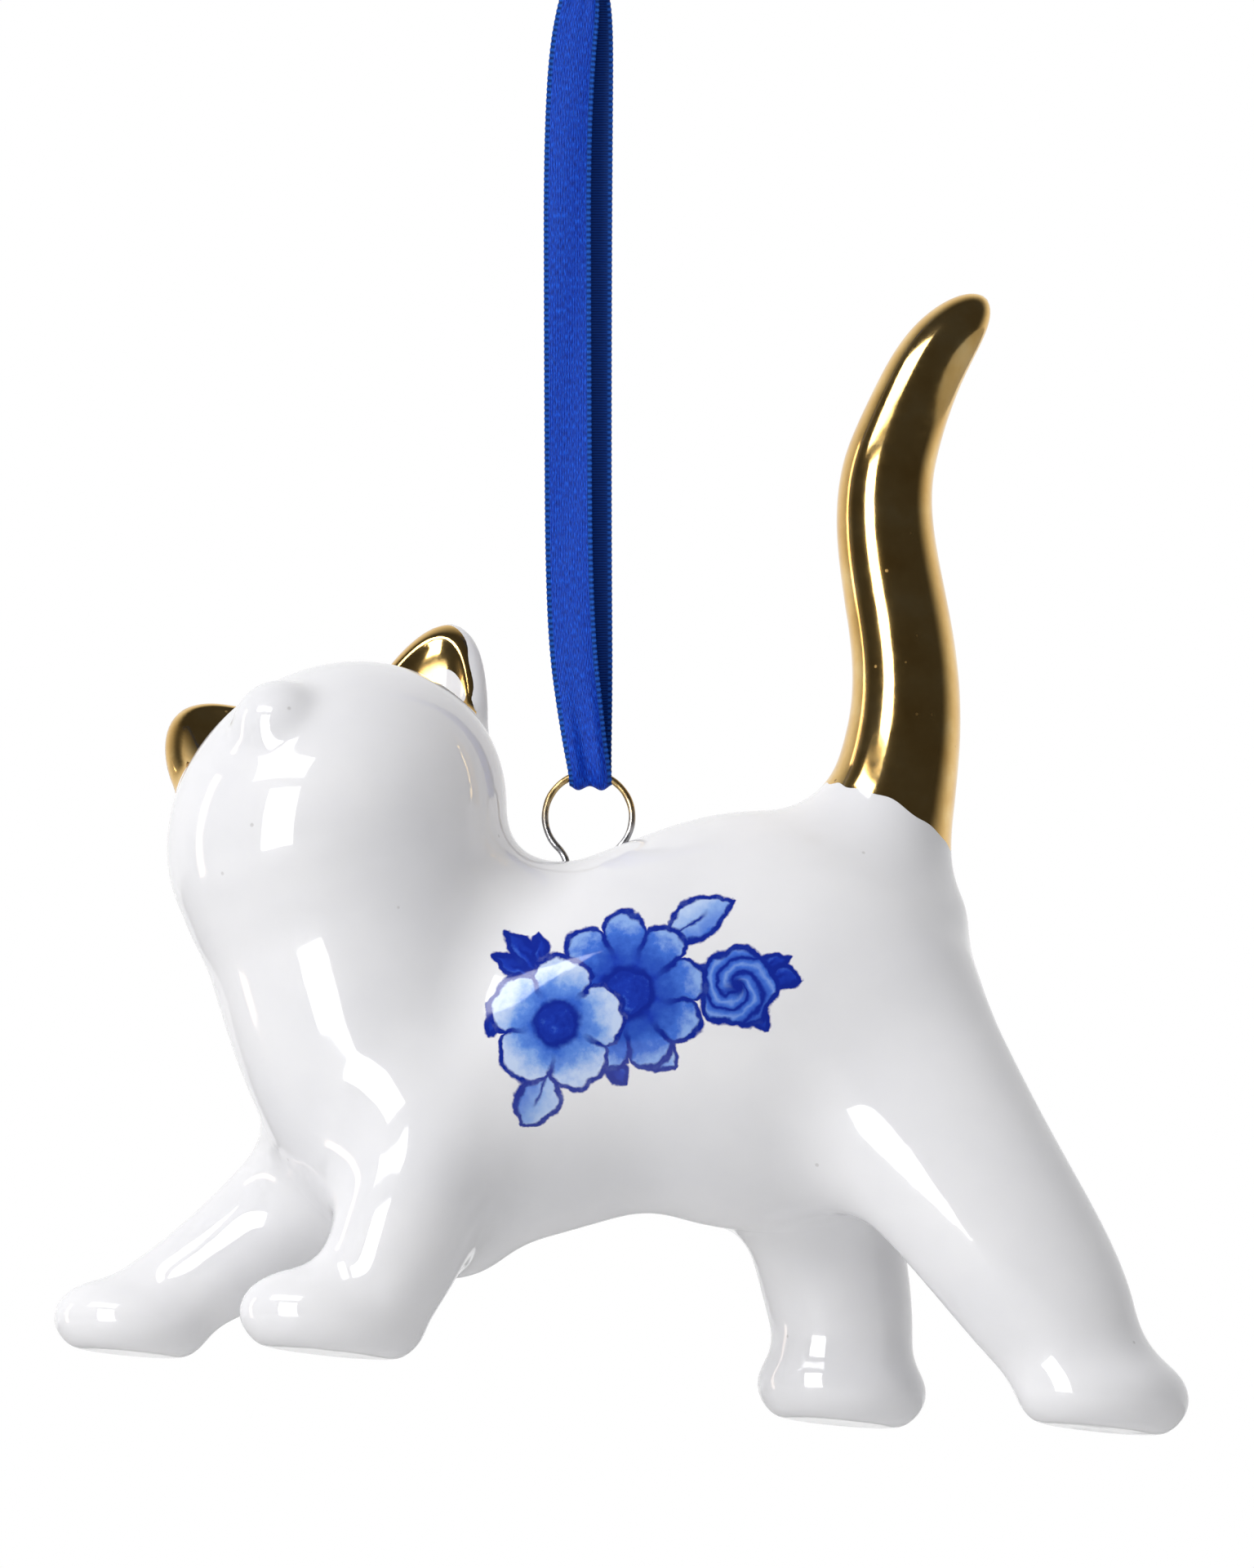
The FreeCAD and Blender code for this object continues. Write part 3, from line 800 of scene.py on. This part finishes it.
def porcelain_material():
    """White glazed porcelain with a faint mould seam, pinholes and a slightly uneven glaze."""
    nodes = Nodes("white_porcelain")
    place = nodes.millimetres()
    cloud = nodes.noise(place, 0.12, 3.0, 0.5)
    white = nodes.ramp(cloud, [(0.3, (0.79, 0.79, 0.815)), (0.7, (0.845, 0.842, 0.86))])
    speck = nodes.add("ShaderNodeTexVoronoi", feature="F1")
    nodes.put(speck.inputs["Vector"], place)
    speck.inputs["Scale"].default_value = 0.28
    dot = nodes.math("SUBTRACT", 1.0, nodes.step(speck.outputs["Distance"], 0.035, 0.012))
    white = nodes.mix(nodes.math("MULTIPLY", dot, 0.35), white, (0.33, 0.31, 0.3, 1.0))
    nodes.put(nodes.shader.inputs["Base Color"], paint_spray(nodes, white))
    nodes.shader.inputs["IOR"].default_value = 1.52
    nodes.shader.inputs["Subsurface Weight"].default_value = 0.12
    nodes.shader.inputs["Subsurface Radius"].default_value = (0.9, 0.9, 1.0)
    nodes.shader.inputs["Subsurface Scale"].default_value = 0.5 * MM
    worn = nodes.noise(place, 0.5, 4.0, 0.6)
    nodes.put(nodes.shader.inputs["Roughness"], nodes.math("MULTIPLY_ADD", worn, 0.05, 0.035))
    split = nodes.add("ShaderNodeSeparateXYZ", {0: place}).outputs
    ripple = nodes.noise(place, 0.3, 2.0, 0.4)
    seam = nodes.math("SUBTRACT", 1.0, nodes.step(nodes.math("ABSOLUTE", split[1]), 0.1, 0.3))
    below = nodes.math("SUBTRACT", 1.0, nodes.step(split[2], -66.0, 3.0))
    seam = nodes.math("MULTIPLY", seam, nodes.math("MULTIPLY", below, 0.35))
    nodes.bump(nodes.math("ADD", ripple, seam), 0.06 * MM, 0.5)
    return nodes.material


def gold_material():
    """Bright gold lustre fired over the glaze, brushed on unevenly, with fine specks."""
    nodes = Nodes("gold_lustre")
    place = nodes.millimetres()
    cloud = nodes.noise(place, 0.35, 4.0, 0.55)
    gold = nodes.ramp(
        cloud, [(0.3, (0.66, 0.40, 0.12)), (0.55, (0.76, 0.50, 0.18)), (0.75, (0.83, 0.60, 0.27))]
    )
    speck = nodes.add("ShaderNodeTexVoronoi", feature="F1")
    nodes.put(speck.inputs["Vector"], place)
    speck.inputs["Scale"].default_value = 0.55
    dot = nodes.math("SUBTRACT", 1.0, nodes.step(speck.outputs["Distance"], 0.06, 0.02))
    gold = nodes.mix(nodes.math("MULTIPLY", dot, 0.5), gold, (0.2, 0.1, 0.04, 1.0))
    nodes.put(nodes.shader.inputs["Base Color"], gold)
    nodes.shader.inputs["Metallic"].default_value = 1.0
    fine = nodes.noise(place, 1.6, 5.0, 0.65)
    rough = nodes.math("MULTIPLY_ADD", fine, 0.12, 0.05)
    nodes.put(nodes.shader.inputs["Roughness"], nodes.math("ADD", rough, nodes.math("MULTIPLY", dot, 0.25)))
    drawn_out = nodes.add("ShaderNodeMapping", {0: place, 3: (1.0, 1.0, 0.35)}).outputs[0]
    strokes = nodes.noise(drawn_out, 0.5, 3.0, 0.5)
    height = nodes.math("ADD", strokes, nodes.math("MULTIPLY", dot, 0.12))
    nodes.bump(height, 0.03 * MM, 0.4)
    return nodes.material


def steel_material():
    """Grey steel wire, worn to a brassy tint where the ribbon rubs it, with drawing lines."""
    nodes = Nodes("eye_wire")
    place = nodes.millimetres()
    split = nodes.add("ShaderNodeSeparateXYZ", {0: place}).outputs
    blotch = nodes.noise(place, 1.3, 4.0, 0.6)
    height = nodes.math("ADD", split[2], nodes.math("MULTIPLY", blotch, 3.0))
    brassy = nodes.step(height, -53.0, 1.6)
    steel = nodes.ramp(blotch, [(0.3, (0.30, 0.30, 0.31)), (0.7, (0.58, 0.58, 0.6))])
    brass = nodes.ramp(blotch, [(0.3, (0.30, 0.19, 0.07)), (0.7, (0.62, 0.46, 0.22))])
    nodes.put(nodes.shader.inputs["Base Color"], nodes.mix(brassy, steel, brass))
    nodes.shader.inputs["Metallic"].default_value = 1.0
    scratch = nodes.noise(place, 6.0, 4.0, 0.7)
    nodes.put(nodes.shader.inputs["Roughness"], nodes.math("MULTIPLY_ADD", scratch, 0.25, 0.2))
    nodes.bump(scratch, 0.015 * MM, 0.6)
    return nodes.material


# ------------------------------------------------------------------------------------------------ wire eye

NECK_BEND = 2.0 * MM
FOOT_GAP = 1.0 * MM
LEG_LENGTH = 2.4 * MM
WIRE_SIDES = 20


def wire_line():
    """The wire's middle line from one foot round the eye to the other, level, from the eye's centre."""
    drop = math.sqrt((EYE_RADIUS + NECK_BEND) ** 2 - (FOOT_GAP + NECK_BEND) ** 2)
    swing = math.atan2(FOOT_GAP + NECK_BEND, drop)
    half = []
    for share in np.linspace(0, 1, 14):
        half.append((FOOT_GAP, -drop - LEG_LENGTH * (1 - share)))
    for angle in np.linspace(math.pi, math.pi / 2 + swing, 16)[1:]:
        middle = (FOOT_GAP + NECK_BEND, -drop)
        half.append((middle[0] + NECK_BEND * math.cos(angle), middle[1] + NECK_BEND * math.sin(angle)))
    for angle in np.linspace(-math.pi / 2 + swing, math.pi / 2, 46)[1:]:
        half.append((EYE_RADIUS * math.cos(angle), EYE_RADIUS * math.sin(angle)))
    return half + [(-x, z) for x, z in reversed(half[:-1])]


def make_wire():
    """The hanging eye: round wire bent by hand, slightly uneven."""
    line = [Vector((x, 0, z)) for x, z in wire_line()]
    turn = Matrix.Rotation(HANG_TILT, 4, "Y")
    vertices = []
    for index, place in enumerate(line):
        ahead = (line[min(index + 1, len(line) - 1)] - line[max(index - 1, 0)]).normalized()
        side = ahead.cross(Vector((0, 1, 0)))
        wobble = 0.03 * MM * math.sin(index * 0.37) + 0.02 * MM * math.sin(index * 0.83 + 1)
        size = WIRE_RADIUS * (0.97 + 0.03 * math.sin(index * 0.61 + 0.5))
        for step in range(WIRE_SIDES):
            angle = 2 * math.pi * step / WIRE_SIDES
            offset = side * math.cos(angle) * size + Vector((0, math.sin(angle) * size + wobble, 0))
            vertices.append(turn @ (place + offset) + EYE_CENTRE)
    wire = mesh_piece("wire_eye", vertices, tube_faces(len(line), WIRE_SIDES))
    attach(wire, "cat")
    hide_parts("hanging_wire")
    return wire


# ---------------------------------------------------------------------------------------------------- knot


# The wrap of the knot: half sizes, where it starts and how far it climbs, in millimetres, and its start and
# turn in degrees. Then the length of each cut end above it, in millimetres.
WRAP_WIDE = 1.5
WRAP_DEEP = 0.98
WRAP_BOTTOM = 0.95
WRAP_CLIMB = 1.7
WRAP_STEPS = 140
WRAP_START = -250
WRAP_TURN = 560
END_STEPS = 60
END_LENGTH = 7.0


def strip_piece(name, frames, columns=18, thickness=0.24 * MM):
    """A ribbon strip from frames of place, across, outward and half width."""
    vertices = []
    marks = []
    along = 0.0
    before = frames[0][0]
    for place, across, outward, half in frames:
        along += (place - before).length
        before = place
        for face in (1, -1):
            for column in range(columns):
                share = 2 * column / (columns - 1) - 1
                share *= face
                fold = 0.07 * MM * math.cos(3.1 * math.pi * share)
                curl = -0.16 * half * share**2
                off = fold + curl + face * thickness / 2
                vertices.append(place + across * share * half + outward * off)
                marks.append((share * RIBBON_WIDTH / 2, along, float(face)))
    piece = mesh_piece(name, vertices, tube_faces(len(frames), 2 * columns))
    mark_weave(piece, marks)
    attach(piece, "hanger")
    return piece


def make_knot(satin):
    """An overhand knot pulled tight in the doubled ribbon, with its two cut ends."""
    frames = []
    for step in range(WRAP_STEPS):
        share = step / (WRAP_STEPS - 1)
        angle = math.radians(WRAP_START + WRAP_TURN * share)
        swell = 1.0 - 0.16 * share
        wide = WRAP_WIDE * swell * math.cos(angle)
        deep = WRAP_DEEP * swell * math.sin(angle)
        place = Vector((wide, deep, WRAP_BOTTOM + WRAP_CLIMB * share)) * MM
        outward = Vector((math.cos(angle), 1.5 * math.sin(angle), 0)).normalized()
        ahead = Vector((-WRAP_WIDE * math.sin(angle), WRAP_DEEP * math.cos(angle), 0.42)).normalized()
        across = outward.cross(ahead).normalized()
        frames.append((place, across, outward, (0.98 + 0.1 * math.sin(3 * angle)) * MM))
    wrap = strip_piece("knot_wrap", frames)
    ends = []
    for side, name in ((-1, "ribbon_end_left"), (1, "ribbon_end_right")):
        frames = []
        for step in range(END_STEPS):
            share = step / (END_STEPS - 1)
            lean = math.radians(side * (8 + 24 * share))
            rise = END_LENGTH * share * MM
            place = Vector((side * (0.15 * MM + 2.25 * MM * share**1.5), side * 0.22 * MM, 1.9 * MM + rise))
            place.y += 0.25 * MM * math.sin(2.6 * share) * side
            ahead = Vector((math.sin(lean), 0, math.cos(lean)))
            across = Vector((ahead.z, 0, -ahead.x))
            outward = Vector((0.1 * side, -1, 0)).normalized()
            half = (0.8 + 0.66 * min(1.0, share * 2.2)) * MM
            slant = 0.35 * MM * share**6
            frames.append((place + ahead * slant, across, outward, half))
        ends.append(strip_piece(name, frames, thickness=RIBBON_THICKNESS))
    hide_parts("ribbon_knot")
    for piece in (wrap, *ends):
        piece.data.materials.append(satin)
    return [wrap, *ends]


# ------------------------------------------------------------------------------------------ putting together

satin = satin_material()
ribbon, ribbon_line, ribbon_length = make_ribbon()
ribbon.data.materials.append(satin)
knot_pieces = make_knot(satin)
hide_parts("ribbon_loop")
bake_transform(ribbon)

body_piece, tail_piece, ear_piece = make_skin()
body_piece.data.materials.append(porcelain_material())
gold = gold_material()
tail_piece.data.materials.append(gold)
ear_piece.data.materials.append(gold)
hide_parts(*WHITE_CASTINGS, *EARS)
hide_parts("tail_casting")
make_wire().data.materials.append(steel_material())


# --------------------------------------------------------------------------------------------------- studio

FLOOR_DEPTH = -0.30
FLOOR_SIZE = 4
FLOOR_ROWS = 24
AIM = Vector((0, 0, -65 * MM))
# What the world shows: to the camera, to diffuse rays, and to reflections in front of the cat and behind it.
BACKDROP = 1.0
SURROUND = 0.45
GLOSS_FRONT = 0.05
GLOSS_BEHIND = 1.0
FRONT_EDGE = -0.15
BEHIND_EDGE = 0.75


def make_floor():
    """A plain pale floor, well below the hanging cat."""
    places = [FLOOR_SIZE * (row / (FLOOR_ROWS - 1) - 0.5) for row in range(FLOOR_ROWS)]
    corners = [(x, y, FLOOR_DEPTH) for y in places for x in places]
    floor = mesh_piece("floor", corners, grid_faces(FLOOR_ROWS, FLOOR_ROWS))
    nodes = Nodes("floor")
    place = nodes.add("ShaderNodeTexCoord").outputs["Object"]
    pale = nodes.ramp(nodes.noise(place, 3.0), [(0.3, (0.80, 0.80, 0.80)), (0.7, (0.84, 0.84, 0.84))])
    nodes.put(nodes.shader.inputs["Base Color"], pale)
    nodes.shader.inputs["Roughness"].default_value = 0.7
    floor.data.materials.append(nodes.material)


def area_light(name, toward, distance, width, height, energy, colour=(1, 1, 1), gloss=True, fill=True):
    """A rectangular softbox that faces the cat from a direction."""
    data = bpy.data.lights.new(name, "AREA")
    data.shape = "RECTANGLE"
    data.size = width
    data.size_y = height
    data.energy = energy
    data.color = colour
    light = bpy.data.objects.new(name, data)
    direction = Vector(toward).normalized()
    light.location = AIM + direction * distance
    light.rotation_euler = direction.to_track_quat("Z", "Y").to_euler()
    light.visible_glossy = gloss
    light.visible_diffuse = fill
    light.visible_camera = False
    scene.collection.objects.link(light)


def make_studio():
    """Tall softbox and bar seen in the glaze, and wide fill lights that are not."""
    area_light("tall_box", (-0.60, -0.79, 0.02), 1.0, 0.38, 0.86, 13, fill=False)
    area_light("bar_box", (-0.56, -0.546, 0.62), 1.0, 0.62, 0.24, 3.6, fill=False)
    area_light("warm_edge", (-0.93, 0.2, 0.1), 1.0, 0.14, 0.9, 1.5, (1.0, 0.8, 0.66), fill=False)
    area_light("key_fill", (-0.7, -0.6, 0.5), 1.3, 0.9, 0.9, 10.5, gloss=False)
    area_light("top_fill", (-0.1, -0.3, 1.0), 1.3, 1.2, 1.2, 3, gloss=False)
    world = bpy.data.worlds.new("studio")
    scene.world = world
    world.use_nodes = True
    tree = world.node_tree
    background = tree.nodes["Background"]
    coordinates = tree.nodes.new("ShaderNodeTexCoord")
    split = tree.nodes.new("ShaderNodeSeparateXYZ")
    tree.links.new(coordinates.outputs["Generated"], split.inputs[0])
    behind = tree.nodes.new("ShaderNodeMapRange")
    behind.interpolation_type = "SMOOTHSTEP"
    tree.links.new(split.outputs[1], behind.inputs[0])
    behind.inputs[1].default_value = FRONT_EDGE
    behind.inputs[2].default_value = BEHIND_EDGE
    behind.inputs[3].default_value = GLOSS_FRONT
    behind.inputs[4].default_value = GLOSS_BEHIND
    path = tree.nodes.new("ShaderNodeLightPath")
    glossy = tree.nodes.new("ShaderNodeMix")
    tree.links.new(path.outputs["Is Glossy Ray"], glossy.inputs[0])
    glossy.inputs[2].default_value = SURROUND
    tree.links.new(behind.outputs[0], glossy.inputs[3])
    camera = tree.nodes.new("ShaderNodeMix")
    tree.links.new(path.outputs["Is Camera Ray"], camera.inputs[0])
    tree.links.new(glossy.outputs[0], camera.inputs[2])
    camera.inputs[3].default_value = BACKDROP
    tree.links.new(camera.outputs[0], background.inputs["Color"])
    scene.view_settings.view_transform = "Standard"


make_floor()
make_studio()
